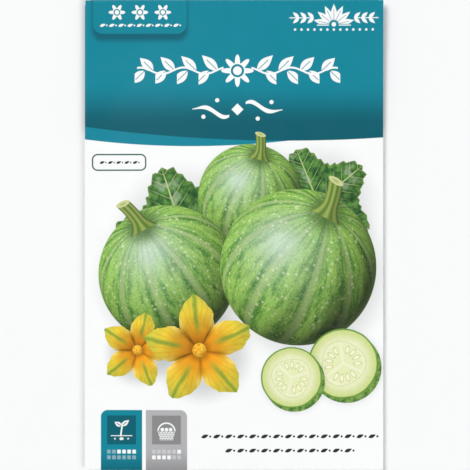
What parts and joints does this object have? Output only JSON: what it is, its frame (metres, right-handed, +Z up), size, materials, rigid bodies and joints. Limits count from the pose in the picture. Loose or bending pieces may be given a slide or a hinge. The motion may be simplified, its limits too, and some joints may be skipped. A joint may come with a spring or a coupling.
{
  "type": "seed packet",
  "caption": "Filled paper seed packet lying on its back: one printed, folded and glued sheet with a side flap and two end flaps, holding loose squash seeds.",
  "frame": {"origin": "on the surface the packet rests on, under the middle of its outline", "axes": "+X across the printed front to the right, +Y towards the packet's top edge, +Z up, out of the printed front"},
  "size_m": [0.13, 0.205, 0.0058],
  "materials": {
    "coated_paper": "white paper, printed and coated, satin",
    "seed_coat": "smooth dry cream seed coat with a raised margin"
  },
  "bodies": {
    "root": {"folded_sheet": "coated_paper", "seed_01": "seed_coat", "seed_02": "seed_coat", "seed_03": "seed_coat", "seed_04": "seed_coat", "seed_05": "seed_coat", "seed_06": "seed_coat", "seed_07": "seed_coat", "seed_08": "seed_coat", "seed_09": "seed_coat", "seed_10": "seed_coat", "seed_11": "seed_coat", "seed_12": "seed_coat", "seed_13": "seed_coat", "seed_14": "seed_coat", "seed_15": "seed_coat", "seed_16": "seed_coat", "seed_17": "seed_coat", "seed_18": "seed_coat", "seed_19": "seed_coat", "seed_20": "seed_coat", "seed_21": "seed_coat", "seed_22": "seed_coat", "seed_23": "seed_coat", "seed_24": "seed_coat", "seed_25": "seed_coat", "seed_26": "seed_coat", "seed_27": "seed_coat", "seed_28": "seed_coat", "seed_29": "seed_coat", "seed_30": "seed_coat", "seed_31": "seed_coat", "seed_32": "seed_coat", "seed_33": "seed_coat", "seed_34": "seed_coat", "seed_35": "seed_coat", "seed_36": "seed_coat"}
  },
  "joints": []
}
